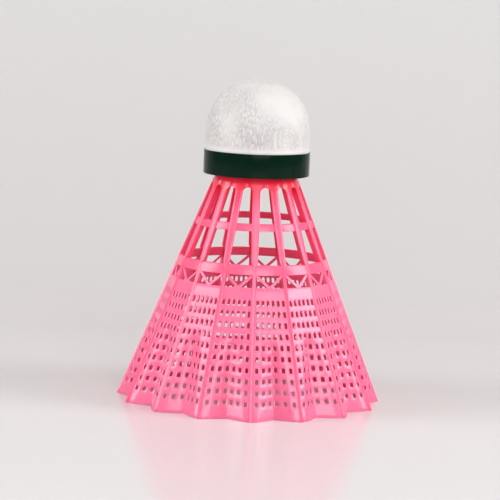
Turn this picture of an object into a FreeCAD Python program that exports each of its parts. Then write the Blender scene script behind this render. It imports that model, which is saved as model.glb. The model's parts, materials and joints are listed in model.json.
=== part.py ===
import FreeCAD, Part
import math
import os

import Sketcher

# Synthetic badminton shuttlecock, standing on the hem of its skirt with its head up.
# The origin is the centre of the hem's plane, +Z points to the head, and rib 0 is at +X.
# Lengths are in millimetres and angles in degrees.

DRIVING_SIZES = [
    ("rib_count", 16, "ribs, and net panels between them"),
    ("hem_radius", 32.4, "radius over the ribs at the hem"),
    ("cone_slope", 0.4047, "radius lost per millimetre of height"),
    ("web_width", 0.7, "width of a rib's web, which stands proud of the net as a ridge"),
    ("web_depth_low", 0.8, "radial depth of a rib's web at the hem"),
    ("web_depth_high", 2.05, "radial depth of a rib's web at its upper end"),
    ("flange_width", 1.65, "width of a rib's outer flange, above the net"),
    ("flange_thickness", 0.5, "thickness of that flange"),
    ("rib_top", 54.2, "height of the ribs' upper ends, inside the collar"),
    ("upper_ring_low", 43.05, "lower edge of the upper ring"),
    ("upper_ring_high", 44.8, "upper edge of the upper ring"),
    ("upper_ring_recess", 0.35, "depth of the upper ring behind the ribs' faces"),
    ("lower_ring_low", 33.0, "lower edge of the lower ring"),
    ("lower_ring_high", 35.3, "upper edge of the lower ring"),
    ("lower_ring_recess", 0.2, "depth of the lower ring behind the ribs' faces"),
    ("ring_thickness", 0.7, "radial thickness of both rings"),
    ("collar_low", 53.2, "lower edge of the collar"),
    ("collar_recess", 0.1, "depth of the collar behind the ribs' faces"),
    ("collar_inner", 8.6, "inner radius of the collar"),
    ("flange_low", 54.5, "underside of the flange that the head sits on"),
    ("head_floor", 55.6, "underside of the head, which is the top of the flange"),
    ("plug_bore", 5.1, "radius of the plug's hollow"),
    ("plug_radius", 6.0, "outer radius of the plug"),
    ("plug_top", 64.6, "top of the plug"),
    ("barb_radius", 6.2, "radius over the plug's barbs"),
    ("barb_count", 3, "barbs along the plug"),
    ("barb_first", 57.2, "height of the lowest barb"),
    ("barb_pitch", 2.4, "spacing of the barbs"),
    ("barb_length", 1.4, "length of a barb's taper"),
    ("net_recess", 0.35, "depth of the net behind the ribs' faces"),
    ("net_thickness", 0.25, "thickness of the net"),
    ("net_top", 33.2, "upper edge of the truss, inside the lower ring"),
    ("row_count", 10, "rows of holes in the net"),
    ("row_first", 3.8, "height of the lowest row's centre"),
    ("row_pitch", 2.53, "spacing of the rows"),
    ("column_count", 6, "holes in each row of a panel"),
    ("hole_height", 1.35, "height of a hole"),
    ("hole_share", 0.55, "share of the column spacing that a hole takes"),
    ("pleat_top", 19.5, "height at which the pleats begin"),
    ("pleat_depth", 3.0, "depth of a pleat's valley at the hem"),
    ("truss_low", 30.1, "lower edge of the truss openings"),
    ("truss_bar", 0.6, "width of the truss bars"),
    ("bore_radius", 6.3, "radius of the cork's bore"),
    ("bore_top", 65.0, "blind end of the cork's bore"),
    ("cork_joint", 62.0, "height of the joint between the two corks"),
    ("cork_joint_gap", 0.15, "thickness of the glue in that joint"),
    ("cork_radius", 12.3, "radius of the corks and of the dome"),
    ("dome_centre", 66.1, "height of the dome's centre"),
    ("cover_thickness", 0.5, "thickness of the leather cover"),
    ("cover_low", 55.9, "lower edge of the leather cover"),
    ("band_thickness", 0.2, "thickness of the band's tape"),
    ("band_top", 61.4, "upper edge of the band"),
    ("lap_angle", 18, "angle over which the tape laps its own start"),
    ("lap_heading", -38, "heading of the lap's middle"),
]


class Size:
    """A length with the expression that ties it to the sheet."""

    def __init__(self, value, text):
        self.value = value
        self.text = text

    def __add__(self, other):
        return Size(self.value + other.value, f"({self.text} + {other.text})")

    def __sub__(self, other):
        return Size(self.value - other.value, f"({self.text} - {other.text})")

    def __mul__(self, other):
        return Size(self.value * other.value, f"({self.text} * {other.text})")


def make_sheet(doc):
    """The sheet of driving sizes, and each size under its name."""
    sheet = doc.addObject("Spreadsheet::Sheet", "sizes")
    for row, (alias, value, meaning) in enumerate(DRIVING_SIZES, start=1):
        sheet.set(f"A{row}", meaning)
        sheet.set(f"B{row}", str(value))
        sheet.setAlias(f"B{row}", alias)
    doc.recompute()
    return {alias: Size(float(value), f"sizes.{alias}") for alias, value, _ in DRIVING_SIZES}


doc = FreeCAD.newDocument("shuttlecock")
size = make_sheet(doc)
ON_AXIS = Size(0.0, "0")


def cone(height, recess=ON_AXIS):
    """Radius of the ribs' outer faces at a height, less a recess."""
    return size["hem_radius"] - size["cone_slope"] * height - recess


def origin_plane(body, role):
    """One of a body's own origin planes."""
    return next(plane for plane in body.Origin.OriginFeatures if plane.Role == role)


def add_sketch(body, name, outline, arc_after=None):
    """A closed outline of (radius, height) corners on the body's XZ plane.

    The side that follows corner number arc_after is an arc centred on the axis.
    """
    sketch = body.newObject("Sketcher::SketchObject", name)
    sketch.AttachmentSupport = [(origin_plane(body, "XZ_Plane"), "")]
    sketch.MapMode = "FlatFace"
    corners = [FreeCAD.Vector(radius.value, height.value, 0) for radius, height in outline]
    count = len(corners)
    for index, start in enumerate(corners):
        end = corners[(index + 1) % count]
        if index == arc_after:
            circle = Part.Circle(FreeCAD.Vector(0, start.y, 0), FreeCAD.Vector(0, 0, 1), start.x)
            sketch.addGeometry(Part.ArcOfCircle(circle, 0, math.pi / 2))
            sketch.addConstraint(Sketcher.Constraint("PointOnObject", index, 3, -2))
        else:
            sketch.addGeometry(Part.LineSegment(start, end))
    for index in range(count):
        sketch.addConstraint(Sketcher.Constraint("Coincident", index, 2, (index + 1) % count, 1))
    for index, (radius, height) in enumerate(outline):
        if radius is ON_AXIS:
            sketch.addConstraint(Sketcher.Constraint("PointOnObject", index, 1, -2))
        else:
            bind(sketch, "DistanceX", index, radius)
        if height.value > 0:
            bind(sketch, "DistanceY", index, height)
        else:
            sketch.addConstraint(Sketcher.Constraint("PointOnObject", index, 1, -1))
    return sketch


def bind(sketch, direction, index, length):
    """Holds the start of a side at a length from the sketch's origin, bound to the sheet."""
    number = sketch.addConstraint(Sketcher.Constraint(direction, -1, 1, index, 1, length.value))
    sketch.setExpression(f"Constraints[{number}]", length.text)


def revolve(body, name, outline, arc_after=None, angle=None):
    """A solid of revolution about Z, or a part turn of it centred on +X."""
    feature = body.newObject("PartDesign::Revolution", name)
    sketch = add_sketch(body, name + "_outline", outline, arc_after)
    feature.Profile = sketch
    feature.ReferenceAxis = (sketch, ["V_Axis"])
    feature.Angle = 360
    if angle is not None:
        feature.Midplane = True
        feature.setExpression("Angle", angle.text)
    return feature


def pad(body, name, outline, width):
    """A plate on both sides of the XZ plane."""
    feature = body.newObject("PartDesign::Pad", name)
    feature.Profile = add_sketch(body, name + "_outline", outline)
    feature.Midplane = True
    feature.setExpression("Length", width.text)
    return feature


def plug_outline(low, high):
    """The plug's barbed side, from low up to high."""
    corners = [(size["plug_radius"], low)]
    for barb in range(int(size["barb_count"].value)):
        step = size["barb_first"] + size["barb_pitch"] * Size(barb, str(barb))
        corners.append((size["plug_radius"], step))
        corners.append((size["barb_radius"], step))
        corners.append((size["plug_radius"], step + size["barb_length"]))
    corners.append((size["plug_radius"], high))
    return corners


def make_skirt_frame():
    """Plug, flange, collar, ribs and rings of the skirt."""
    body = doc.addObject("PartDesign::Body", "skirt_frame")
    crown = [
        (size["plug_bore"], size["plug_top"]),
        (size["plug_bore"], size["flange_low"]),
        (size["collar_inner"], size["flange_low"]),
        (size["collar_inner"], size["collar_low"]),
        (cone(size["collar_low"], size["collar_recess"]), size["collar_low"]),
        (cone(size["head_floor"], size["collar_recess"]), size["head_floor"]),
    ]
    revolve(body, "crown", crown + plug_outline(size["head_floor"], size["plug_top"]))
    web_side = rib_side(ON_AXIS, size["web_depth_low"], size["web_depth_high"])
    web = pad(body, "rib_web", web_side, size["web_width"])
    flange_side = rib_side(size["lower_ring_low"], size["flange_thickness"], size["flange_thickness"])
    flange = pad(body, "rib_flange", flange_side, size["flange_width"])
    ribs = body.newObject("PartDesign::PolarPattern", "ribs")
    ribs.Originals = [web, flange]
    ribs.Axis = (web.Profile[0], ["V_Axis"])
    ribs.Angle = 360
    ribs.setExpression("Occurrences", size["rib_count"].text)
    body.Tip = ribs
    for name in ("lower_ring", "upper_ring"):
        revolve(body, name, ring_outline(name))
    return body


def rib_side(low, low_depth, top_depth):
    """Side view of a rib, from a height up to the collar, with its outer edge on the cone."""
    top = size["rib_top"]
    outside = [(cone(low), low), (cone(top), top)]
    return outside + [(cone(top, top_depth), top), (cone(low, low_depth), low)]


def ring_outline(name):
    """Section of a ring, leaning with the cone."""
    low, high = size[name + "_low"], size[name + "_high"]
    recess = size[name + "_recess"]
    inner = recess + size["ring_thickness"]
    outside = [(cone(low, recess), low), (cone(high, recess), high)]
    return outside + [(cone(high, inner), high), (cone(low, inner), low)]


def plain(alias):
    """A driving size as a plain number."""
    return size[alias].value


def net_radius(height):
    """Radius of the net's outer face along a rib."""
    return plain("hem_radius") - plain("cone_slope") * height - plain("net_recess")


def half_pitch():
    """Half the angle between two ribs, in radians."""
    return math.pi / plain("rib_count")


def panel_point(across, height, sunk=0.0):
    """A point of the flat panel about +X: across it along Y, at a height, and sunk towards the axis."""
    return FreeCAD.Vector(net_radius(height) * math.cos(half_pitch()) - sunk, across, height)


def half_width(height):
    """Half the net's width between two ribs' middles, less the part that the webs take over."""
    buried_edge = plain("web_width") / 4
    return net_radius(height) * math.sin(half_pitch()) - buried_edge


def facet(points):
    """A flat piece of the net, as thick as the net, from its outer corners."""
    thickness = plain("net_thickness") * math.hypot(1, plain("cone_slope"))
    outline = Part.makePolygon(points + points[:1])
    return Part.Face(outline).extrude(FreeCAD.Vector(-thickness, 0, 0))


def folded_panel():
    """A panel between two ribs: flat above, with a pleat that opens downwards to the hem."""
    hem, top = half_width(0), half_width(plain("net_top"))
    left, right = panel_point(hem, 0), panel_point(-hem, 0)
    upper_left = panel_point(top, plain("net_top"))
    upper_right = panel_point(-top, plain("net_top"))
    pleat_start = panel_point(0, plain("pleat_top"))
    valley = panel_point(0, 0, plain("pleat_depth"))
    flat = facet([left, upper_left, upper_right, right, pleat_start])
    return flat.fuse([facet([left, pleat_start, valley]), facet([right, pleat_start, valley])])


def prism_through(points):
    """A prism through the net along X, from corners (across, height)."""
    corners = [FreeCAD.Vector(0, across, height) for across, height in points]
    beyond = plain("hem_radius") + plain("net_thickness")
    return Part.Face(Part.makePolygon(corners + corners[:1])).extrude(FreeCAD.Vector(beyond, 0, 0))


def net_holes():
    """The rows of upright holes in one panel, spread to the panel's width at each height."""
    holes = []
    for row in range(int(plain("row_count"))):
        height = plain("row_first") + row * plain("row_pitch")
        low, high = height - plain("hole_height") / 2, height + plain("hole_height") / 2
        clear_width = 2 * net_radius(height) * math.sin(half_pitch()) - plain("web_width")
        spacing = clear_width / plain("column_count")
        half_hole = spacing * plain("hole_share") / 2
        for column in range(int(plain("column_count"))):
            middle = (column + 0.5) * spacing - clear_width / 2
            left, right = middle - half_hole, middle + half_hole
            holes.append(prism_through([(left, low), (right, low), (right, high), (left, high)]))
    return holes


def truss_openings():
    """The openings around a panel's V of two bars: one above the V and one below each bar."""
    low, high = plain("truss_low"), plain("lower_ring_low")
    side = half_width((low + high) / 2) - plain("web_width") / 2
    lean = math.hypot(side, high - low) / side
    half_bar = plain("truss_bar") / 2 * lean
    inset = half_bar * side / (high - low)
    openings = [prism_through([(-side + inset, high), (side - inset, high), (0, low + half_bar)])]
    for mirror in (-1, 1):
        corner = (mirror * side, low)
        openings.append(prism_through([corner, (mirror * side, high - half_bar), (mirror * inset, low)]))
    return openings


def make_net():
    """All the panels of the net, each turned to its place between two ribs."""
    panel = folded_panel().cut(net_holes() + truss_openings())
    step = 360 / plain("rib_count")
    panels = []
    for index in range(int(plain("rib_count"))):
        turned = panel.copy()
        turned.rotate(FreeCAD.Vector(0, 0, 0), FreeCAD.Vector(0, 0, 1), (index + 0.5) * step)
        panels.append(turned)
    net = doc.addObject("Part::Feature", "skirt_net")
    net.Shape = Part.makeCompound(panels)
    return net


def make_skirt():
    """The whole moulding: the frame and the net in one solid."""
    skirt = doc.addObject("Part::Fuse", "skirt")
    skirt.Base = make_skirt_frame()
    skirt.Tool = make_net()
    return skirt


def make_cork_dome():
    """Domed front cork with the blind end of the bore."""
    body = doc.addObject("PartDesign::Body", "cork_dome")
    foot = size["cork_joint"] + size["cork_joint_gap"]
    outline = [
        (ON_AXIS, size["bore_top"]),
        (size["bore_radius"], size["bore_top"]),
        (size["bore_radius"], foot),
        (size["cork_radius"], foot),
        (size["cork_radius"], size["dome_centre"]),
        (ON_AXIS, size["dome_centre"] + size["cork_radius"]),
    ]
    revolve(body, "dome", outline, arc_after=4)
    return body


def make_ring(name, inner, outer, low, high):
    """A plain ring."""
    body = doc.addObject("PartDesign::Body", name)
    revolve(body, name + "_turn", [(inner, low), (outer, low), (outer, high), (inner, high)])
    return body


def make_cork_ring(name, low, high):
    """A ring as wide as the cork, bored for the plug: the cork disc, or the glue film on it."""
    return make_ring(name, size["bore_radius"], size["cork_radius"], low, high)


def make_plug_glue():
    """Glue that fills the bore round the barbed plug."""
    body = doc.addObject("PartDesign::Body", "plug_glue")
    outer = [(size["bore_radius"], size["plug_top"]), (size["bore_radius"], size["head_floor"])]
    revolve(body, "glue_sleeve", outer + plug_outline(size["head_floor"], size["plug_top"]))
    return body


def make_leather_cover():
    """Cover over the corks, open below."""
    body = doc.addObject("PartDesign::Body", "leather_cover")
    outer = size["cork_radius"] + size["cover_thickness"]
    outside = [
        (ON_AXIS, size["cover_low"]),
        (outer, size["cover_low"]),
        (outer, size["dome_centre"]),
        (ON_AXIS, size["dome_centre"] + outer),
    ]
    inside = [
        (ON_AXIS, size["cover_low"]),
        (size["cork_radius"], size["cover_low"]),
        (size["cork_radius"], size["dome_centre"]),
        (ON_AXIS, size["dome_centre"] + size["cork_radius"]),
    ]
    revolve(body, "cover_outside", outside, arc_after=2)
    hollow = body.newObject("PartDesign::Groove", "cover_hollow")
    sketch = add_sketch(body, "cover_hollow_outline", inside, arc_after=2)
    hollow.Profile = sketch
    hollow.ReferenceAxis = (sketch, ["V_Axis"])
    hollow.Angle = 360
    return body


def make_green_band():
    """Tape round the foot of the head, with its end lapped over its start."""
    inner = size["cork_radius"] + size["cover_thickness"]
    outer = inner + size["band_thickness"]
    body = make_ring("green_band", inner, outer, size["head_floor"], size["band_top"])
    over = outer + size["band_thickness"]
    low, high = size["head_floor"], size["band_top"]
    revolve(body, "lap", [(inner, low), (over, low), (over, high), (inner, high)], angle=size["lap_angle"])
    turn = FreeCAD.Rotation(FreeCAD.Vector(0, 0, 1), plain("lap_heading"))
    body.Placement = FreeCAD.Placement(FreeCAD.Vector(0, 0, 0), turn)
    return body


def check(document, nodes):
    """Stops at the first object that failed or shape that isn't sound."""
    for item in document.Objects:
        if "Invalid" in item.State or "Error" in item.State:
            raise RuntimeError(f"{item.Name} failed: {item.State}")
    for node in nodes:
        if node.Shape.isNull() or not node.Shape.isValid() or len(node.Shape.Solids) != 1:
            raise RuntimeError(f"{node.Label} isn't one sound solid")


def write_parts(nodes):
    """Writes each node to a file of its own."""
    os.makedirs("parts", exist_ok=True)
    for node in nodes:
        node.Shape.exportStep(f"parts/{node.Label}.step")
        print(f"{node.Label}: {node.Shape.Volume:.1f} mm3, {len(node.Shape.Faces)} faces")


nodes = [
    make_skirt(),
    make_cork_ring("cork_base", size["head_floor"], size["cork_joint"]),
    make_cork_ring("cork_joint_glue", size["cork_joint"], size["cork_joint"] + size["cork_joint_gap"]),
    make_cork_dome(),
    make_plug_glue(),
    make_leather_cover(),
    make_green_band(),
]
doc.recompute()
check(doc, nodes)
write_parts(nodes)
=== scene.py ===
import json
import math

import bmesh
import bpy
import numpy as np
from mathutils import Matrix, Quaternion, Vector, noise


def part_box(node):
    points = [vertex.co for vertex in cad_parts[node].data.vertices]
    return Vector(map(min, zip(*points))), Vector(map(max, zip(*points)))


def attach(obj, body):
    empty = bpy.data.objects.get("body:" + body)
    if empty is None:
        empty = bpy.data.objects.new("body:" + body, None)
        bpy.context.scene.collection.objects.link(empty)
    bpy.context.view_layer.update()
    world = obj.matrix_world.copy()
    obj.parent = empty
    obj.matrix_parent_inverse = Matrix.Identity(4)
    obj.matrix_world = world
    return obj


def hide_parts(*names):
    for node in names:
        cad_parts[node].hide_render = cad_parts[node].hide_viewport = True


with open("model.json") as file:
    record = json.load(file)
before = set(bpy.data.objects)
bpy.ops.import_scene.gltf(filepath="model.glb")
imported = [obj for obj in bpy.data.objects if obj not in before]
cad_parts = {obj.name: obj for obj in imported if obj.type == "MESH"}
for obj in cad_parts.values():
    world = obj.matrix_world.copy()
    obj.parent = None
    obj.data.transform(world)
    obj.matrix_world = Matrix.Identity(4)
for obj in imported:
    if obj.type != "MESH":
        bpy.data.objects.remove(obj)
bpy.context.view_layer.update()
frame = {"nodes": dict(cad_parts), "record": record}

# A nylon shuttlecock on its hem, head up. Shapes are worked out in millimetres in the row's frame
# and turned into metres when each mesh is made. Rib 0 points along +X.
MM = 0.001


def corner_mm(node, which):
    """Lowest (0) or highest (1) corner of a CAD node, in millimetres."""
    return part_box(node)[which] / MM


# ---------------------------------------------------------------- sizes from the frame

HEM_RADIUS = corner_mm("skirt", 1).x
PLUG_TOP = corner_mm("skirt", 1).z
HEAD_FLOOR = corner_mm("green_band", 0).z
BAND_TOP = corner_mm("green_band", 1).z
COVER_RADIUS = corner_mm("leather_cover", 1).x
COVER_LOW = corner_mm("leather_cover", 0).z
HEAD_TOP = corner_mm("leather_cover", 1).z
CORK_RADIUS = corner_mm("cork_base", 1).x
PLUG_BORE = next(m for m in frame["record"]["mounts"] if m["name"] == "plug_hollow")["dims"]["r_mm"]

# ---------------------------------------------------------------- the skirt's own sizes

# Ribs: a web behind, a ridge over the net, and a flange outside the web above the net.
RIBS = 16
PITCH = 2 * math.pi / RIBS
CONE_SLOPE = 0.4047
WEB_HALF = 0.35
WEB_DEPTH_LOW = 0.8
WEB_DEPTH_HIGH = 2.05
RIDGE_HALF = 0.26
RIDGE_FOOT = 0.46
FLANGE_HALF_LOW = 0.74
FLANGE_HALF_HIGH = 0.92
FLANGE_THICKNESS = 0.5
FLANGE_CROWN = 0.03
FLANGE_START = 0.25
FLANGE_RUN = 0.7
FLANGE_GAP = 0.03
RIB_SOFTNESS = 0.1
RIB_TOP = 54.3
RIB_END_HEIGHT = 0.12
RIB_END_SHRINK = 0.82
RIB_END_DEPTH = 0.3
WINDOW_ROUNDING = 1.2

# Each ring's lower edge, upper edge and depth behind the ribs' outer faces.
UPPER_RING = (43.05, 44.8, 0.35)
LOWER_RING = (33.0, 35.3, 0.2)
RING_THICKNESS = 0.7
RING_ROUNDING = 0.2

# Crown: the collar, the flange that the head sits on, and the barbed plug.
COLLAR_LOW = 53.2
COLLAR_INNER = 8.6
COLLAR_RECESS = 0.08
CROWN_ROUNDING = 0.15
FLANGE_LOW = 54.5
PLUG_RADIUS = 6.0
BARB_RADIUS = 6.2
BARB_HEIGHTS = (57.2, 59.6, 62.0)
BARB_LENGTH = 1.4
TURNED_SEGMENTS = 160

# Net: rows of holes, which get smaller towards the hem. A hole's share is of its cell's width.
NET_RECESS = 0.35
NET_THICKNESS = 0.3
NET_EDGE_SOFTNESS = 0.08
STRAND_SINK = 0.05
ROWS = 10
COLUMNS = 6
ROW_FIRST = 3.8
ROW_PITCH = 2.53
EDGE_LINE = 0.12
HEM_HEIGHTS = [0.0, EDGE_LINE, 0.9, 1.7]
HOLE_HEIGHT_LOW = 0.98
HOLE_HEIGHT_HIGH = 1.32
HOLE_SHARE_LOW = 0.43
HOLE_SHARE_HIGH = 0.53
HOLE_ROUNDING = 0.22
RIM_SPREAD = 1.22
RIM_DROP = 0.015
RIM_BEVEL = 0.09

# Pleats: half a pleat's width is PLEAT_SPREAD times a power of the height below its top.
PLEAT_TOP = 19.8
PLEAT_SPREAD = 0.777
PLEAT_POWER = 0.61
PLEAT_STEEPNESS = 0.58
PLEAT_FADE_HEIGHT = 2.5
PLEAT_FADE_SHARE = 0.15
LIP_SOFTNESS = 0.45
CREASE_SOFTNESS = 0.25

# Truss: a V of two bars in each panel, ending inside the lower ring and inside the net.
TRUSS_LOW = 30.1
TRUSS_BAR = 0.72
BAR_TOP = LOWER_RING[0] + 0.25
BAR_FOOT = TRUSS_LOW - 0.2
BAR_TOP_SHARE = 0.96
BAR_CROSSING_SHARE = 0.03


# ---------------------------------------------------------------- mesh helpers


def add_mesh(name, points, faces):
    """An object from points in millimetres and faces of point numbers."""
    mesh = bpy.data.meshes.new(name)
    mesh.from_pydata((np.asarray(points, float) * MM).tolist(), [], [list(face) for face in faces])
    mesh.validate()
    piece = bpy.data.objects.new(name, mesh)
    bpy.context.scene.collection.objects.link(piece)
    return piece


def face_outwards(piece):
    """Turns every face of a closed mesh outwards."""
    shell = bmesh.new()
    shell.from_mesh(piece.data)
    bmesh.ops.recalc_face_normals(shell, faces=shell.faces)
    shell.to_mesh(piece.data)
    shell.free()


def ease(value):
    """Runs smoothly from 0 to 1 as the value does."""
    value = min(max(value, 0.0), 1.0)
    return value * value * (3 - 2 * value)


def smooth(piece, sharp_degrees):
    """Smooth shading that keeps edges sharper than an angle."""
    piece.data.shade_smooth()
    piece.data.set_sharp_from_angle(angle=math.radians(sharp_degrees))


def tube_faces(stations, sides, closed):
    """Faces between rings of points, with end caps unless the rings close on themselves."""
    faces = []
    for station in range(stations if closed else stations - 1):
        here = station * sides
        there = (station + 1) % stations * sides
        for side in range(sides):
            after = (side + 1) % sides
            faces.append((here + side, here + after, there + after, there + side))
    if not closed:
        faces.append(tuple(range(sides)))
        faces.append(tuple(range((stations - 1) * sides, stations * sides)))
    return faces


class Shells:
    """Points and faces of several closed shells, gathered for one mesh."""

    def __init__(self):
        self.points = []
        self.faces = []

    def add(self, points, faces):
        first = len(self.points)
        self.points.extend(points)
        self.faces.extend([tuple(index + first for index in face) for face in faces])

    def build(self, name):
        piece = add_mesh(name, self.points, self.faces)
        face_outwards(piece)
        return piece


def rounded_outline(corners, radius, steps=3):
    """A closed outline of (across, up) corners with each corner rounded."""
    outline = []
    count = len(corners)
    for index in range(count):
        before, here, after = (Vector(corners[(index + step) % count]) for step in (-1, 0, 1))
        reach = min(radius, (before - here).length * 0.45, (after - here).length * 0.45)
        start = here + (before - here).normalized() * reach
        end = here + (after - here).normalized() * reach
        for step in range(steps + 1):
            share = step / steps
            outline.append(tuple(start.lerp(here, share).lerp(here.lerp(end, share), share)))
    return outline


def turned(outline):
    """A closed (radius, height) outline turned about Z, as points and faces."""
    points = []
    for segment in range(TURNED_SEGMENTS):
        angle = 2 * math.pi * segment / TURNED_SEGMENTS
        points.extend((r * math.cos(angle), r * math.sin(angle), z) for r, z in outline)
    return points, tube_faces(TURNED_SEGMENTS, len(outline), closed=True)


def unite(piece, others):
    """Joins closed meshes into one skin, and removes the others."""
    for other in others:
        union = piece.modifiers.new("union", "BOOLEAN")
        union.operation = "UNION"
        union.solver = "MANIFOLD"
        union.object = other
    graph = bpy.context.evaluated_depsgraph_get()
    mesh = bpy.data.meshes.new_from_object(piece.evaluated_get(graph))
    piece.modifiers.clear()
    piece.data = mesh
    mesh.name = piece.name
    for other in others:
        bpy.data.objects.remove(other)


# ---------------------------------------------------------------- the skirt


def cone(height):
    """Radius of the ribs' outer faces."""
    return HEM_RADIUS - CONE_SLOPE * height


def net_middle(angle, height):
    """Points on the middle of the net's wall: flat panels, each with a pleat that widens to the hem."""
    share = 2 * np.mod(angle / PITCH, 1.0) - 1
    flat = math.cos(PITCH / 2) / np.cos(share * PITCH / 2)
    wall = cone(height) - NET_RECESS - NET_THICKNESS / 2
    across = np.sqrt((share * wall * PITCH / 2) ** 2 + CREASE_SOFTNESS**2) - CREASE_SOFTNESS
    below = np.maximum(PLEAT_TOP - height, 1e-6)
    inside = PLEAT_SPREAD * below**PLEAT_POWER - across
    fold = PLEAT_STEEPNESS * (inside + np.sqrt(inside**2 + LIP_SOFTNESS**2)) / 2
    fade_up = np.clip(below / PLEAT_FADE_HEIGHT, 0, 1)
    fade_across = np.clip((1 - np.abs(share)) / PLEAT_FADE_SHARE, 0, 1)
    radius = wall * flat - fold * fade_up * fade_across
    return np.stack([radius * np.cos(angle), radius * np.sin(angle), height + 0 * angle], -1)


def net_point(angle, height, out):
    """Points of the net at a distance out from the middle of its wall.

    The net is about 20 mm from the axis, so the turn moves a point about as far as the step does.
    """
    angle, height, out = (np.asarray(value, float) for value in (angle, height, out))
    step = 0.01
    turn = step / 20
    along = net_middle(angle + turn, height) - net_middle(angle - turn, height)
    up = net_middle(angle, height + step) - net_middle(angle, height - step)
    normal = np.cross(along, up)
    normal /= np.linalg.norm(normal, axis=-1, keepdims=True)
    return net_middle(angle, height) + normal * out[..., None]


def column_angle(column, height):
    """Angle of a fine column line: whole ribs' webs, with the columns of holes spread between them."""
    fine = 3 * COLUMNS
    panel, local = np.divmod(column, fine + 2)
    web = WEB_HALF / cone(height)
    inside = web + (local - 1) / fine * (PITCH - 2 * web)
    offset = np.where(local <= 1, local * web, inside)
    offset = np.where(local >= fine + 1, PITCH - (fine + 2 - local) * web, offset)
    return panel * PITCH + offset


def hole_rim(share_across, share_up, rounding_across, rounding_up):
    """Twelve points round a hole in its cell, each beside one point of the cell's own border."""
    bevel = 1 - math.sqrt(0.5)
    corner_across, corner_up = share_across - rounding_across * bevel, share_up - rounding_up * bevel
    flat_across, flat_up = share_across - rounding_across, share_up - rounding_up
    below = [(-corner_across, -corner_up), (-flat_across, -share_up), (flat_across, -share_up)]
    right = [(corner_across, -corner_up), (share_across, -flat_up), (share_across, flat_up)]
    half = below + right
    return half + [(-across, -up) for across, up in half]


def make_net():
    """The perforated wall round all the ribs, as one closed shell."""
    per_panel = 3 * COLUMNS + 2
    lines = RIBS * per_panel
    net_low = ROW_FIRST - ROW_PITCH / 2
    net_high = net_low + ROWS * ROW_PITCH
    cell_heights = [net_low + ROW_PITCH * third / 3 for third in range(3 * ROWS + 1)]
    top_heights = [(net_high + TRUSS_LOW) / 2, TRUSS_LOW - EDGE_LINE, TRUSS_LOW]
    heights = HEM_HEIGHTS + cell_heights + top_heights
    first_row = len(HEM_HEIGHTS)
    half = NET_THICKNESS / 2
    points = []
    number = {}

    def grid(column, row, face):
        """Number of a grid point on the outer (1) or inner (-1) face, made when first asked for."""
        column %= lines
        key = (column, row, face)
        if key not in number:
            out = half - (NET_EDGE_SOFTNESS if row in (0, len(heights) - 1) else 0)
            local = column % per_panel
            between_rows = first_row < row < first_row + 3 * ROWS and (row - first_row) % 3 != 0
            if between_rows and 1 < local < per_panel - 1:
                out -= STRAND_SINK
            number[key] = len(points)
            points.append((column, heights[row], face * out))
        return number[key]

    faces = []
    holes = set()
    for panel in range(RIBS):
        for across in range(COLUMNS):
            for up in range(ROWS):
                column = panel * per_panel + 1 + 3 * across
                row = first_row + 3 * up
                holes.update((column + i, row + j) for i in range(3) for j in range(3))
                add_hole(points, faces, grid, column, row, heights, half)
    for column in range(lines):
        for row in range(len(heights) - 1):
            if (column, row) in holes:
                continue
            for face in (1, -1):
                corners = [grid(column + i, row + j, face) for i, j in ((0, 0), (1, 0), (1, 1), (0, 1))]
                faces.append(corners[::face])
        for row in (0, len(heights) - 1):
            outer = [grid(column, row, 1), grid(column + 1, row, 1)]
            inner = [grid(column + 1, row, -1), grid(column, row, -1)]
            faces.append(outer + inner)
    column, height, out = np.array(points).T
    places = net_point(column_angle(column, height), height, out)
    places[:, 2] = np.maximum(places[:, 2], 0)
    piece = add_mesh("net", places, faces)
    face_outwards(piece)
    return piece


def add_hole(points, faces, grid, column, row, heights, half):
    """One cell of the net: its border, a rounded rim on each face, and the hole's wall."""
    half_border = [(0, 0), (1, 0), (2, 0), (3, 0), (3, 1), (3, 2)]
    border = half_border + [(3 - i, 3 - j) for i, j in half_border]
    middle_height = (heights[row] + heights[row + 3]) / 2
    cell_width = (cone(middle_height) * PITCH - 2 * WEB_HALF) / COLUMNS
    climb = (middle_height - ROW_FIRST) / (ROW_PITCH * (ROWS - 1))
    rim = hole_rim(
        HOLE_SHARE_LOW + (HOLE_SHARE_HIGH - HOLE_SHARE_LOW) * climb,
        (HOLE_HEIGHT_LOW + (HOLE_HEIGHT_HIGH - HOLE_HEIGHT_LOW) * climb) / ROW_PITCH,
        2 * HOLE_ROUNDING / cell_width,
        2 * HOLE_ROUNDING / ROW_PITCH,
    )
    rings = []
    for face in (1, -1):
        rings.append([grid(column + i, row + j, face) for i, j in border])
        for spread, out in ((RIM_SPREAD, half - RIM_DROP), (1.0, half - RIM_BEVEL)):
            ring = []
            for across, up in rim:
                ring.append(len(points))
                place = column + 1.5 * (1 + across * spread)
                points.append((place, middle_height + up * spread * ROW_PITCH / 2, face * out))
            rings.append(ring)
    through = rings[:3] + rings[:2:-1]
    for one, other in zip(through, through[1:]):
        for side in range(len(border)):
            after = (side + 1) % len(border)
            faces.append((one[side], one[after], other[after], other[side]))


def flange_half(height):
    """Half the width of a rib's outer face: a ridge over the net, a flange above, spread under the collar."""
    spread = ease((height - LOWER_RING[1] + FLANGE_START) / FLANGE_RUN)
    widening = min(max((height - LOWER_RING[1]) / (UPPER_RING[0] - LOWER_RING[1]), 0), 1)
    flange = FLANGE_HALF_LOW + (FLANGE_HALF_HIGH - FLANGE_HALF_LOW) * widening
    half = RIDGE_HALF + (flange - RIDGE_HALF) * spread
    into_arch = min(max(height - (COLLAR_LOW - WINDOW_ROUNDING), 0), WINDOW_ROUNDING)
    half += WINDOW_ROUNDING - math.sqrt(WINDOW_ROUNDING**2 - into_arch**2)
    return min(half, cone(height) * PITCH / 2 - FLANGE_GAP)


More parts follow.
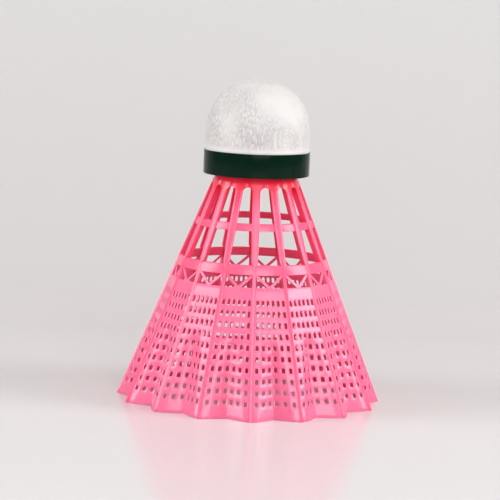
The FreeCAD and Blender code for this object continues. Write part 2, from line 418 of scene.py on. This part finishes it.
def web_depth(height):
    """Depth of a rib's web, which grows evenly from the hem to the rib's top."""
    return WEB_DEPTH_LOW + (WEB_DEPTH_HIGH - WEB_DEPTH_LOW) * height / RIB_TOP


def rib_section(height):
    """Section of a rib: a flange outside and a web behind it, as (across, out from the cone)."""
    half = flange_half(height)
    foot = max(half, RIDGE_FOOT)
    back = web_depth(height)
    soft = RIB_SOFTNESS
    right = [
        (half * 0.5, FLANGE_CROWN),
        (half - soft, 0.0),
        (half, -soft),
        (foot, soft - FLANGE_THICKNESS),
        (foot - soft / 2, -FLANGE_THICKNESS),
        (WEB_HALF, -FLANGE_THICKNESS - soft / 2),
        (WEB_HALF, soft - back),
        (WEB_HALF - soft, -back),
    ]
    return right + [(-across, out) for across, out in reversed(right)]


def make_ribs():
    """The ribs, from the hem up into the collar, with more stations where their width changes."""
    foot = [0.0, RIB_END_HEIGHT]
    over_net = list(np.linspace(1.0, LOWER_RING[0], 16))
    over_ring = list(np.linspace(LOWER_RING[0] + 0.4, LOWER_RING[1] + 0.5, 10))
    over_windows = list(np.linspace(LOWER_RING[1] + 1.0, COLLAR_LOW - WINDOW_ROUNDING, 9))
    under_collar = list(np.linspace(COLLAR_LOW - WINDOW_ROUNDING * 0.9, COLLAR_LOW, 9)) + [RIB_TOP]
    stations = foot + over_net + over_ring + over_windows + under_collar
    shells = Shells()
    for rib in range(RIBS):
        points = []
        for height in stations:
            shrink = RIB_END_SHRINK if height == 0 else 1.0
            for across, out in rib_section(height):
                radius = cone(height) + (out + RIB_END_DEPTH) * shrink - RIB_END_DEPTH
                angle = rib * PITCH + across * shrink / radius
                points.append((radius * math.cos(angle), radius * math.sin(angle), height))
        shells.add(points, tube_faces(len(stations), len(rib_section(0)), closed=False))
    return shells.build("ribs")


def ring_outline(low, high, recess):
    """Section of a ring that leans with the cone, as (radius, height)."""
    corners = [
        (cone(low) - recess, low),
        (cone(high) - recess, high),
        (cone(high) - recess - RING_THICKNESS, high),
        (cone(low) - recess - RING_THICKNESS, low),
    ]
    return rounded_outline(corners, RING_ROUNDING)


def make_rounds():
    """What is turned: the two rings, and the crown with its collar, flange and barbed plug."""
    shells = Shells()
    shells.add(*turned(ring_outline(*UPPER_RING)))
    shells.add(*turned(ring_outline(*LOWER_RING)))
    plug = [(PLUG_RADIUS, HEAD_FLOOR)]
    for height in BARB_HEIGHTS:
        plug += [(PLUG_RADIUS, height), (BARB_RADIUS, height), (PLUG_RADIUS, height + BARB_LENGTH)]
    crown = [
        (PLUG_BORE, PLUG_TOP),
        (PLUG_BORE, FLANGE_LOW),
        (COLLAR_INNER, FLANGE_LOW),
        (COLLAR_INNER, COLLAR_LOW),
        (cone(COLLAR_LOW) - COLLAR_RECESS, COLLAR_LOW),
        (cone(HEAD_FLOOR) - COLLAR_RECESS, HEAD_FLOOR),
    ]
    shells.add(*turned(rounded_outline(crown + plug + [(PLUG_RADIUS, PLUG_TOP)], CROWN_ROUNDING, 2)))
    return shells.build("rounds")


def make_truss_bars(mirror):
    """One slanting bar in each panel, from the lower ring at a rib down to just past the panel's middle."""
    shells = Shells()
    share = np.linspace(0, 1, 7)
    section = rounded_outline([(-1, -1), (1, -1), (1, 1), (-1, 1)], 0.5, 2)
    for panel in range(RIBS):
        middle = (panel + 0.5) * PITCH
        angle = middle + mirror * PITCH / 2 * (BAR_TOP_SHARE * (1 - share) - BAR_CROSSING_SHARE * share)
        height = BAR_TOP + (BAR_FOOT - BAR_TOP) * share
        centre = net_point(angle, height, 0 * share)
        outside = net_point(angle, height, 0 * share + 1) - centre
        run = centre[-1] - centre[0]
        across = np.cross(outside, run)
        across /= np.linalg.norm(across, axis=-1, keepdims=True)
        half_width, half_thickness = TRUSS_BAR / 2, NET_THICKNESS * 0.45
        points = []
        for place, wide, out in zip(centre, across, outside):
            for x, y in section:
                points.append(tuple(place + wide * x * half_width + out * y * half_thickness))
        shells.add(points, tube_faces(len(share), len(section), closed=False))
    return shells.build(f"truss_{mirror}")


NET_RIDGE_TINT = 0.25
CAGE_TINT = 0.35
WEB_THICKNESS_AND_SHADE_TINT = 0.35
RIDGE_REACH = 0.37
RIDGE_FADE = 0.25
WEB_START = 0.3
WEB_FADE = 0.4
CAGE_FADE = 0.4
COLLAR_TINT_AND_SHADE_FADE = 9


def rising(value, start, run):
    """0 up to a start, then rising to 1 over a run."""
    return np.clip((value - start) / run, 0, 1)


def mark_thickness_and_shade(piece):
    """Stores a tint for each point: 0 on the net, more on ridges and rings, most on webs and the crown. The
    tint is partly the deeper colour of thicker nylon and partly painted shade, on the webs' sides and on the
    collar and upper stems under the head.
    """
    mesh = piece.data
    place = np.empty(len(mesh.vertices) * 3)
    mesh.vertices.foreach_get("co", place)
    x, y, z = place.reshape(-1, 3).T / MM
    radius = np.hypot(x, y)
    share = np.mod(np.arctan2(y, x) / PITCH + 0.5, 1.0) - 0.5
    rib = 1 - rising(np.abs(share) * PITCH * radius, RIDGE_REACH, RIDGE_FADE)
    # Painted shade: the webs' sides are tinted deeper, on top of the deeper colour of their thicker nylon.
    web = rib * rising(cone(z) - radius, WEB_START, WEB_FADE)
    cage = rising(z, LOWER_RING[0] - CAGE_FADE / 2, CAGE_FADE)
    # Painted shade: the collar and the stems' tops redden towards the head that shades them, on top of the
    # deeper colour of their thicker nylon.
    crown = rising(z, COLLAR_LOW - COLLAR_TINT_AND_SHADE_FADE, COLLAR_TINT_AND_SHADE_FADE)
    thickness_and_shade_tint = np.maximum.reduce([NET_RIDGE_TINT * rib, cage * (CAGE_TINT + WEB_THICKNESS_AND_SHADE_TINT * web), crown])
    attribute = mesh.attributes.new("thickness_and_shade", "FLOAT", "POINT")
    attribute.data.foreach_set("value", thickness_and_shade_tint.astype(np.float32))


def make_skirt():
    """The whole moulding as one skin."""
    skirt = make_net()
    unite(skirt, [make_ribs(), make_rounds(), make_truss_bars(1), make_truss_bars(-1)])
    skirt.name = "pink_skirt"
    mark_thickness_and_shade(skirt)
    smooth(skirt, 42)
    return skirt


# ---------------------------------------------------------------- the head

# Cover: above DOME_FOOT its section is a superellipse, where a fullness of 2 would be round.
DOME_FOOT = 65.2
DOME_FULLNESS = 2.2
DOME_TOP = HEAD_TOP - 0.25
COVER_THICKNESS = 0.48
CORK_CLEARANCE = 0.02
COVER_SEGMENTS = 440
COVER_ROWS = 182
INSIDE_ROWS = 12

# The cover swells a little where the tape's upper edge grips it.
SWELL_HEIGHT = BAND_TOP + 0.4
SWELL_REACH = 0.45
SWELL = 0.1

# Leather: pebbles between creases, upright except in the whorls, and smooth in one worn patch.
# A whorl and the patch are each placed by a heading in degrees from +X and a height.
GRAIN_DEPTH = 0.2
GRAIN_WIDTH = 0.62
GRAIN_LENGTH = 2.0
CREASE_SHARE = 0.34
GRAIN_SEED = 12
GRAIN_BEND = 0.8
BENDS_PER_MM = 0.17
STRENGTH = 0.8
STRENGTH_SWING = 0.7
SWINGS_PER_MM = 0.21
STRENGTH_LEAST = 0.1
SMOOTH_EDGE = BAND_TOP + 0.5
SMOOTH_EDGE_FADE = 1.2
WHORLS = ((-52, 64.5), (70, 66.5), (165, 65.0))
WHORL_REACH = 7.5
WHORL_EDGE = 2.5
WHORL_TURN = 3.0
WORN_PLACE = (-48, 76.5)
WORN_REACH = 11.0
WORN_EDGE = 5.0
WORN_LOSS = 0.85


def dome_profile(radius, low, top, count):
    """(radius, height) points up the side and over the dome, evenly spaced."""
    angle = np.linspace(0, math.pi / 2, 400)
    across = radius * np.cos(angle) ** (2 / DOME_FULLNESS)
    up = DOME_FOOT + (top - DOME_FOOT) * np.sin(angle) ** (2 / DOME_FULLNESS)
    across = np.concatenate([[radius], across])
    up = np.concatenate([[low], up])
    run = np.concatenate([[0], np.cumsum(np.hypot(np.diff(across), np.diff(up)))])
    even = np.linspace(0, run[-1], count)
    return np.interp(even, run, across), np.interp(even, run, up)


def on_side(heading, height):
    """A place on the cover's side, at a heading in degrees from +X."""
    turn = math.radians(heading)
    return Vector((COVER_RADIUS * math.cos(turn), COVER_RADIUS * math.sin(turn), height))


def creases(place):
    """1 in the creases between the leather's pebbles, 0 on them."""
    nearest, second = noise.voronoi(place)[0][:2]
    return 1 - min((second - nearest) / CREASE_SHARE, 1.0)


def crease_depth(place):
    """How deeply the leather is creased at a point, as a share of GRAIN_DEPTH."""
    bent = place + GRAIN_BEND * noise.noise_vector(place * BENDS_PER_MM)
    crease = creases(Vector((bent.x / GRAIN_WIDTH, bent.y / GRAIN_WIDTH, bent.z / GRAIN_LENGTH)))
    for heading, height in WHORLS:
        offset = bent - on_side(heading, height)
        inside = ease((WHORL_REACH - offset.length) / WHORL_EDGE)
        if inside > 0:
            turn = math.atan2(offset.z, offset.x * math.sin(math.radians(heading)) - offset.y)
            ring = Vector((offset.length / GRAIN_WIDTH, turn * WHORL_TURN / GRAIN_LENGTH, heading))
            crease += (creases(ring) - crease) * inside
    worn = ease((WORN_REACH - (place - on_side(*WORN_PLACE)).length) / WORN_EDGE)
    strength = STRENGTH + STRENGTH_SWING * noise.noise(place * SWINGS_PER_MM)
    above_tape = ease((place.z - SMOOTH_EDGE) / SMOOTH_EDGE_FADE)
    return crease * max(strength * (1 - WORN_LOSS * worn), STRENGTH_LEAST) * above_tape


def dome_points(radius, top, rows):
    """Points of a dome: rows from the cover's cut edge up, then one point at the top."""
    across, up = dome_profile(radius, COVER_LOW, top, rows)
    points = []
    for reach, height in zip(across[:-1], up[:-1]):
        for segment in range(COVER_SEGMENTS):
            angle = 2 * math.pi * segment / COVER_SEGMENTS
            points.append(Vector((reach * math.cos(angle), reach * math.sin(angle), height)))
    return points + [Vector((0, 0, top))]


def make_cover():
    """The leather cover: a grained shell, closed under the band by its cut edge."""
    noise.seed_set(GRAIN_SEED)
    points = []
    depths = []
    for place in dome_points(COVER_RADIUS, DOME_TOP, COVER_ROWS)[:-1]:
        swell = SWELL * max(0.0, 1 - abs(place.z - SWELL_HEIGHT) / SWELL_REACH)
        outward = Vector((place.x, place.y, max(0.0, place.z - DOME_FOOT))).normalized()
        depths.append(crease_depth(place))
        points.append(place + outward * (swell - GRAIN_DEPTH * depths[-1]))
    points.append(Vector((0, 0, DOME_TOP)))
    inner = len(points)
    points += dome_points(CORK_RADIUS + CORK_CLEARANCE, DOME_TOP - COVER_THICKNESS, INSIDE_ROWS)
    faces = dome_faces(0, COVER_ROWS - 1) + dome_faces(inner, INSIDE_ROWS - 1)
    for segment in range(COVER_SEGMENTS):
        after = (segment + 1) % COVER_SEGMENTS
        faces.append((segment, after, inner + after, inner + segment))
    piece = add_mesh("grained_leather_cover", [tuple(point) for point in points], faces)
    depths += [0.0] * (len(points) - len(depths))
    piece.data.attributes.new("crease", "FLOAT", "POINT").data.foreach_set("value", depths)
    face_outwards(piece)
    smooth(piece, 60)
    return piece


def dome_faces(first, rows):
    """Faces of a dome: rows of points from the foot up, then one point at the top."""
    faces = []
    top = first + rows * COVER_SEGMENTS
    for row in range(rows - 1):
        here = first + row * COVER_SEGMENTS
        for segment in range(COVER_SEGMENTS):
            after = (segment + 1) % COVER_SEGMENTS
            above = here + COVER_SEGMENTS
            faces.append((here + segment, here + after, above + after, above + segment))
    last = top - COVER_SEGMENTS
    for segment in range(COVER_SEGMENTS):
        faces.append((last + segment, last + (segment + 1) % COVER_SEGMENTS, top))
    return faces


BAND_LAP_HEADING = -38
BAND_LAP_DEGREES = 18
BAND_TAPE = 0.2
BAND_ROUNDING = 0.08
BAND_GAP = 0.012
LAP_RISE_START = 2 * math.pi - 0.05
LAP_RISE = 0.06
BAND_SWAY = 0.02
BAND_WAVES = 5
BAND_STATIONS = 260


def make_band():
    """Tape wound once round the foot of the head, its end lapped over its start."""
    corners = [(0, HEAD_FLOOR), (BAND_TAPE, HEAD_FLOOR), (BAND_TAPE, BAND_TOP), (0, BAND_TOP)]
    section = rounded_outline(corners, BAND_ROUNDING)
    shells = Shells()
    start = math.radians(BAND_LAP_HEADING - BAND_LAP_DEGREES / 2)
    total = math.radians(360 + BAND_LAP_DEGREES)
    points = []
    for station in range(BAND_STATIONS):
        turn = total * station / (BAND_STATIONS - 1)
        angle = start + turn
        lift = (BAND_TAPE + BAND_GAP) * ease((turn - LAP_RISE_START) / LAP_RISE)
        for out, height in section:
            share_up = (height - HEAD_FLOOR) / (BAND_TOP - HEAD_FLOOR)
            sway = BAND_SWAY * math.sin(BAND_WAVES * angle) * share_up
            radius = COVER_RADIUS + BAND_GAP + out + lift
            points.append((radius * math.cos(angle), radius * math.sin(angle), height + sway))
    shells.add(points, tube_faces(BAND_STATIONS, len(section), closed=False))
    piece = shells.build("dark_green_band")
    smooth(piece, 50)
    return piece


# ---------------------------------------------------------------- materials


def srgb(red, green, blue):
    """A colour given as it is seen, from 0 to 255, in the linear values that shaders take."""
    seen = [value / 255 for value in (red, green, blue)]
    linear = [value / 12.92 if value <= 0.04045 else ((value + 0.055) / 1.055) ** 2.4 for value in seen]
    return (*linear, 1.0)


NOISE_ROUGHNESS = 0.55


class Recipe:
    """A node material under construction."""

    def __init__(self, name):
        self.material = bpy.data.materials.new(name)
        self.material.use_nodes = True
        self.nodes = self.material.node_tree.nodes
        self.links = self.material.node_tree.links
        self.shader = self.nodes["Principled BSDF"]

    def set(self, **values):
        """Sets the shader's own sockets, named with underscores for spaces."""
        for name, value in values.items():
            self.shader.inputs[name.replace("_", " ")].default_value = value

    def node(self, kind, inputs=None, **settings):
        """A new node, its inputs linked to sockets or set to values."""
        made = self.nodes.new(kind)
        for name, value in settings.items():
            setattr(made, name, value)
        for name, value in (inputs or {}).items():
            if isinstance(value, bpy.types.NodeSocket):
                self.links.new(value, made.inputs[name])
            else:
                made.inputs[name].default_value = value
        return made

    def place(self, scale=(1, 1, 1)):
        """Object coordinates, in units of a metre divided by scale."""
        coordinates = self.node("ShaderNodeTexCoord").outputs["Object"]
        return self.node("ShaderNodeMapping", {"Vector": coordinates, "Scale": scale}).outputs["Vector"]

    def noise(self, size_mm, detail, vector=None):
        """Noise whose features are about size_mm across."""
        inputs = {"Scale": 1 / (size_mm * MM), "Detail": detail, "Roughness": NOISE_ROUGHNESS}
        inputs["Vector"] = vector or self.place()
        return self.node("ShaderNodeTexNoise", inputs).outputs["Fac"]

    def cell_edges(self, size_mm):
        """Distance from the edges of cells about size_mm across, in units of that size."""
        inputs = {"Vector": self.place(), "Scale": 1 / (size_mm * MM)}
        return self.node("ShaderNodeTexVoronoi", inputs, feature="DISTANCE_TO_EDGE").outputs["Distance"]

    def ramp(self, factor, stops):
        """A colour from (position, colour) stops."""
        made = self.node("ShaderNodeValToRGB", {"Fac": factor})
        elements = made.color_ramp.elements
        for element, (position, colour) in zip(elements, (stops[0], stops[-1])):
            element.position, element.color = position, colour
        for position, colour in stops[1:-1]:
            elements.new(position).color = colour
        return made.outputs["Color"]

    def mix(self, factor, one, other):
        """One colour at a factor of 0, the other at 1."""
        made = self.node("ShaderNodeMix", data_type="RGBA")
        for socket, value in ((made.inputs[0], factor), (made.inputs[6], one), (made.inputs[7], other)):
            if isinstance(value, bpy.types.NodeSocket):
                self.links.new(value, socket)
            else:
                socket.default_value = value
        return made.outputs[2]

    def range(self, value, low, high):
        """Moves a value from 0 to 1 into a range."""
        inputs = {"Value": value, "To Min": low, "To Max": high}
        return self.node("ShaderNodeMapRange", inputs).outputs["Result"]

    def share(self, value, low=0.0, high=1.0):
        """Moves a value from a range to 0 to 1."""
        inputs = {"Value": value, "From Min": low, "From Max": high}
        return self.node("ShaderNodeMapRange", inputs).outputs["Result"]

    def bump(self, height, distance_mm, strength, after=None):
        """Fine relief of a height, laid over the relief that comes before it."""
        inputs = {"Height": height, "Distance": distance_mm * MM, "Strength": strength}
        if after is not None:
            inputs["Normal"] = after
        return self.node("ShaderNodeBump", inputs).outputs["Normal"]

    def connect(self, name, value):
        """Links a socket to the shader."""
        self.links.new(value, self.shader.inputs[name])


def skirt_nylon():
    """Glossy pink nylon that light enters: paler in the thin net, redder in the ribs and collar, where the
    red is partly painted shade on the webs and under the head.
    """
    recipe = Recipe("pink_nylon")
    thickness_and_shade_tint = recipe.node("ShaderNodeAttribute", attribute_name="thickness_and_shade").outputs["Fac"]
    # The reddest stops are partly painted shade: on the webs' sides, and on the collar under the head.
    base = recipe.ramp(
        thickness_and_shade_tint,
        [
            (0.0, srgb(255, 117, 156)),
            (0.35, srgb(255, 96, 137)),
            (0.7, srgb(255, 62, 106)),
            (1.0, srgb(252, 14, 58)),
        ],
    )
    cloud = recipe.noise(6.0, 2.0)
    streak = recipe.noise(1.2, 3.0, vector=recipe.place((1, 1, 0.25)))
    mottled = recipe.mix(recipe.range(cloud, 0.0, 0.2), base, srgb(255, 140, 170))
    streaked = recipe.mix(recipe.range(streak, 0.0, 0.14), mottled, srgb(255, 60, 105))
    recipe.connect("Base Color", streaked)
    recipe.connect("Roughness", recipe.range(recipe.noise(2.5, 3.0), 0.18, 0.28))
    recipe.connect("Normal", recipe.bump(recipe.noise(0.5, 3.0), 0.012, 0.6))
    recipe.set(IOR=1.53, Subsurface_Weight=0.7, Subsurface_Scale=0.001)
    recipe.shader.inputs["Subsurface Radius"].default_value = (1.0, 0.35, 0.5)
    return recipe.material


def white_leather():
    """White synthetic leather with pores, and painted shade in its creases, greyer the deeper they are."""
    recipe = Recipe("white_leather")
    tone = recipe.ramp(
        recipe.noise(3.2, 4.0),
        [(0.3, srgb(211, 207, 207)), (0.55, srgb(215, 213, 211)), (0.8, srgb(218, 216, 214))],
    )
    crease = recipe.node("ShaderNodeAttribute", attribute_name="crease").outputs["Fac"]
    # Painted shade: the creases are darkened towards grey by their depth.
    crease_shade = recipe.range(crease, 0.0, 0.42)
    recipe.connect("Base Color", recipe.mix(crease_shade, tone, srgb(158, 146, 150)))
    recipe.connect("Roughness", recipe.range(recipe.noise(1.6, 3.0), 0.46, 0.64))
    seams = recipe.share(recipe.cell_edges(0.34), high=0.16)
    pebbles = recipe.bump(seams, 0.02, 0.5)
    recipe.connect("Normal", recipe.bump(recipe.noise(0.22, 2.0), 0.015, 0.5, after=pebbles))
    recipe.set(IOR=1.5, Specular_IOR_Level=0.25)
    return recipe.material


def band_tape():
    """Glossy dark green tape with faint waves left by its winding."""
    recipe = Recipe("dark_green_tape")
    tone = recipe.ramp(recipe.noise(5.0, 3.0), [(0.3, srgb(6, 29, 19)), (0.75, srgb(10, 35, 24))])
    recipe.connect("Base Color", tone)
    recipe.connect("Roughness", recipe.range(recipe.noise(1.1, 4.0), 0.1, 0.18))
    waves = recipe.bump(recipe.noise(3.5, 2.0, vector=recipe.place((1, 1, 0.3))), 0.05, 0.5)
    recipe.connect("Normal", recipe.bump(recipe.noise(0.3, 2.0), 0.003, 0.4, after=waves))
    recipe.set(IOR=1.5, Specular_IOR_Level=0.09)
    return recipe.material


def cork(name, light, dark, granule_mm):
    """Cork of packed granules, with dark pores between them."""
    recipe = Recipe(name)
    cells = {"Vector": recipe.place(), "Scale": 1 / (granule_mm * MM)}
    cell = recipe.node("ShaderNodeTexVoronoi", cells).outputs["Color"]
    shade = recipe.node("ShaderNodeSeparateColor", {"Color": cell}).outputs[0]
    granules = recipe.ramp(shade, [(0.0, dark), (0.35, light), (1.0, srgb(214, 172, 122))])
    seams = recipe.share(recipe.cell_edges(granule_mm), high=0.12)
    grained = recipe.mix(recipe.range(recipe.noise(0.25, 4.0), 0.0, 0.5), granules, dark)
    recipe.connect("Base Color", recipe.mix(seams, srgb(88, 52, 30), grained))
    recipe.connect("Roughness", recipe.range(recipe.noise(0.8, 3.0), 0.72, 0.95))
    pits = recipe.bump(seams, 0.12, 0.8)
    recipe.connect("Normal", recipe.bump(recipe.noise(0.2, 4.0), 0.05, 0.7, after=pits))
    return recipe.material


def set_glue():
    """Set amber glue with bubbles."""
    recipe = Recipe("set_glue")
    tone = recipe.ramp(recipe.noise(1.5, 4.0), [(0.3, srgb(196, 164, 104)), (0.7, srgb(226, 202, 150))])
    recipe.connect("Base Color", tone)
    recipe.connect("Roughness", recipe.range(recipe.noise(0.7, 3.0), 0.2, 0.45))
    recipe.connect("Normal", recipe.bump(recipe.noise(0.5, 3.0), 0.05, 0.6))
    recipe.set(IOR=1.48)
    return recipe.material


def floor_finish():
    """Pale glossy floor, with painted light and shade: painted shade far in front, a painted shadow that
    greys it a little behind the object, and painted light that whitens it up the backdrop.
    """
    recipe = Recipe("pale_floor")
    # Painted shade: dim far in front, and grey in a band behind the object as a painted shadow. The same grey
    # also tints faint random clouds.
    far_front_painted_shade, shadow_and_cloud_grey, pale, backdrop_painted_light = srgb(62, 60, 61), srgb(208, 202, 203), srgb(215, 211, 212), srgb(247, 249, 246)
    axes = recipe.node("ShaderNodeSeparateXYZ", {"Vector": recipe.place()}).outputs
    stops = [(0.0, far_front_painted_shade), (0.38, pale), (0.56, pale), (0.6, shadow_and_cloud_grey), (0.68, shadow_and_cloud_grey), (1.0, pale)]
    along = recipe.ramp(recipe.share(axes["Y"], low=-0.7, high=0.5), stops)
    # Painted light: whiter up the backdrop.
    tone = recipe.mix(recipe.share(axes["Z"], high=0.25), along, backdrop_painted_light)
    clouds = recipe.range(recipe.noise(220.0, 2.0), 0.0, 0.06)
    recipe.connect("Base Color", recipe.mix(clouds, tone, shadow_and_cloud_grey))
    recipe.connect("Roughness", recipe.range(recipe.noise(60.0, 2.0), 0.15, 0.19))
    recipe.set(IOR=1.45, Specular_IOR_Level=0.2)
    return recipe.material


def wear(piece, material):
    """Gives a piece its only material."""
    piece.data.materials.clear()
    piece.data.materials.append(material)


# ---------------------------------------------------------------- stage, camera and lights

# The stage, lights and camera are placed in metres.
STAGE_HALF_WIDTH = 1.6
STAGE_FRONT = -1.6
STAGE_MIDDLE = -0.1
STAGE_BEND = 0.1
STAGE_RADIUS = 0.7
STAGE_TOP = 1.6
STAGE_STEPS = 32


def make_stage():
    """A pale sweep: floor under the object, curving up into a backdrop behind it."""
    outline = [(STAGE_FRONT, 0.0), (STAGE_MIDDLE, 0.0), (STAGE_BEND, 0.0)]
    for step in range(1, STAGE_STEPS + 1):
        angle = math.pi / 2 * step / STAGE_STEPS
        back = STAGE_BEND + STAGE_RADIUS * math.sin(angle)
        outline.append((back, STAGE_RADIUS - STAGE_RADIUS * math.cos(angle)))
    outline.append((STAGE_BEND + STAGE_RADIUS, STAGE_TOP))
    points = []
    for side in (-STAGE_HALF_WIDTH, STAGE_HALF_WIDTH):
        points.extend((side / MM, y / MM, z / MM) for y, z in outline)
    count = len(outline)
    faces = [(index, index + 1, count + index + 1, count + index) for index in range(count - 1)]
    sweep = add_mesh("sweep", points, faces)
    sweep.data.shade_smooth()
    wear(sweep, floor_finish())


def aim(thing, target):
    """Points a light or camera at a place."""
    thing.rotation_mode = "QUATERNION"
    thing.rotation_quaternion = (Vector(target) - thing.location).to_track_quat("-Z", "Y")


LIT_HEIGHT = 0.035
ORBIT_HEIGHT = 0.03


def make_light(name, azimuth, elevation, distance, size, watts):
    """A soft rectangular light: azimuth in degrees to the camera's right, elevation above the floor."""
    data = bpy.data.lights.new(name, "AREA")
    data.shape = "RECTANGLE"
    data.size, data.size_y = size
    data.energy = watts
    light = bpy.data.objects.new(name, data)
    turn, rise = math.radians(azimuth), math.radians(elevation)
    level = distance * math.cos(rise)
    climb = distance * math.sin(rise)
    light.location = (level * math.sin(turn), -level * math.cos(turn), climb + ORBIT_HEIGHT)
    bpy.context.scene.collection.objects.link(light)
    aim(light, (0, 0, LIT_HEIGHT))


HORIZON_LIGHT = (0.06, 0.06, 0.06, 1)
OVERHEAD_LIGHT = (0.95, 0.94, 0.93, 1)
OVERHEAD_START = 0.75
SURROUND_STRENGTH = 0.75


def make_surround():
    """Light from all round: bright overhead, dim at eye level."""
    world = bpy.data.worlds.new("surround")
    world.use_nodes = True
    nodes, links = world.node_tree.nodes, world.node_tree.links
    direction = nodes.new("ShaderNodeTexCoord").outputs["Generated"]
    height = nodes.new("ShaderNodeSeparateXYZ")
    links.new(direction, height.inputs[0])
    ramp = nodes.new("ShaderNodeValToRGB")
    links.new(height.outputs["Z"], ramp.inputs["Fac"])
    horizon, overhead = ramp.color_ramp.elements
    horizon.color = HORIZON_LIGHT
    overhead.color = OVERHEAD_LIGHT
    overhead.position = OVERHEAD_START
    background = nodes["Background"]
    links.new(ramp.outputs["Color"], background.inputs["Color"])
    background.inputs["Strength"].default_value = SURROUND_STRENGTH
    bpy.context.scene.world = world


def make_lights():
    """Softboxes to the right, to the left and in front, and light from all round."""
    make_light("key", azimuth=78, elevation=27, distance=0.7, size=(0.30, 0.38), watts=2.7)
    make_light("fill", azimuth=-80, elevation=24, distance=0.7, size=(0.34, 0.38), watts=2.4)
    make_light("front", azimuth=8, elevation=22, distance=0.9, size=(0.6, 0.5), watts=4.3)
    make_surround()


CAMERA_DISTANCE = 0.569
CAMERA_HEIGHT = 0.110
AIM_HEIGHT = 0.0367
CAMERA_TURN = math.radians(1.5)
CAMERA_ROLL = math.radians(2.2)
CAMERA_LENS = 167.8
CAMERA_SENSOR = 36
CAMERA_SIDESTEP = -0.0008


def make_camera():
    """The camera, slightly above the object and a little to its left, rolled a touch."""
    data = bpy.data.cameras.new("camera")
    data.lens = CAMERA_LENS
    data.sensor_width = CAMERA_SENSOR
    data.clip_start = 0.02
    camera = bpy.data.objects.new("camera", data)
    ahead = Vector((math.sin(CAMERA_TURN), math.cos(CAMERA_TURN), 0))
    sideways = Vector((math.cos(CAMERA_TURN), -math.sin(CAMERA_TURN), 0)) * CAMERA_SIDESTEP
    camera.location = sideways - ahead * CAMERA_DISTANCE + Vector((0, 0, CAMERA_HEIGHT))
    bpy.context.scene.collection.objects.link(camera)
    aim(camera, sideways + Vector((0, 0, AIM_HEIGHT)))
    camera.rotation_quaternion = camera.rotation_quaternion @ Quaternion((0, 0, 1), CAMERA_ROLL)
    bpy.context.scene.camera = camera


# ---------------------------------------------------------------- assembly

make_camera()
make_lights()
make_stage()
bpy.context.scene.view_settings.view_transform = "Standard"

skirt = make_skirt()
wear(skirt, skirt_nylon())
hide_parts("skirt")
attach(skirt, "root")

cover = make_cover()
wear(cover, white_leather())
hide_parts("leather_cover")
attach(cover, "root")

band = make_band()
wear(band, band_tape())
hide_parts("green_band")
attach(band, "root")

wear(frame["nodes"]["cork_base"], cork("pressed_cork", srgb(186, 138, 92), srgb(120, 78, 48), 1.1))
wear(frame["nodes"]["cork_dome"], cork("natural_cork", srgb(200, 152, 104), srgb(150, 104, 66), 1.7))
glue = set_glue()
wear(frame["nodes"]["plug_glue"], glue)
wear(frame["nodes"]["cork_joint_glue"], glue)
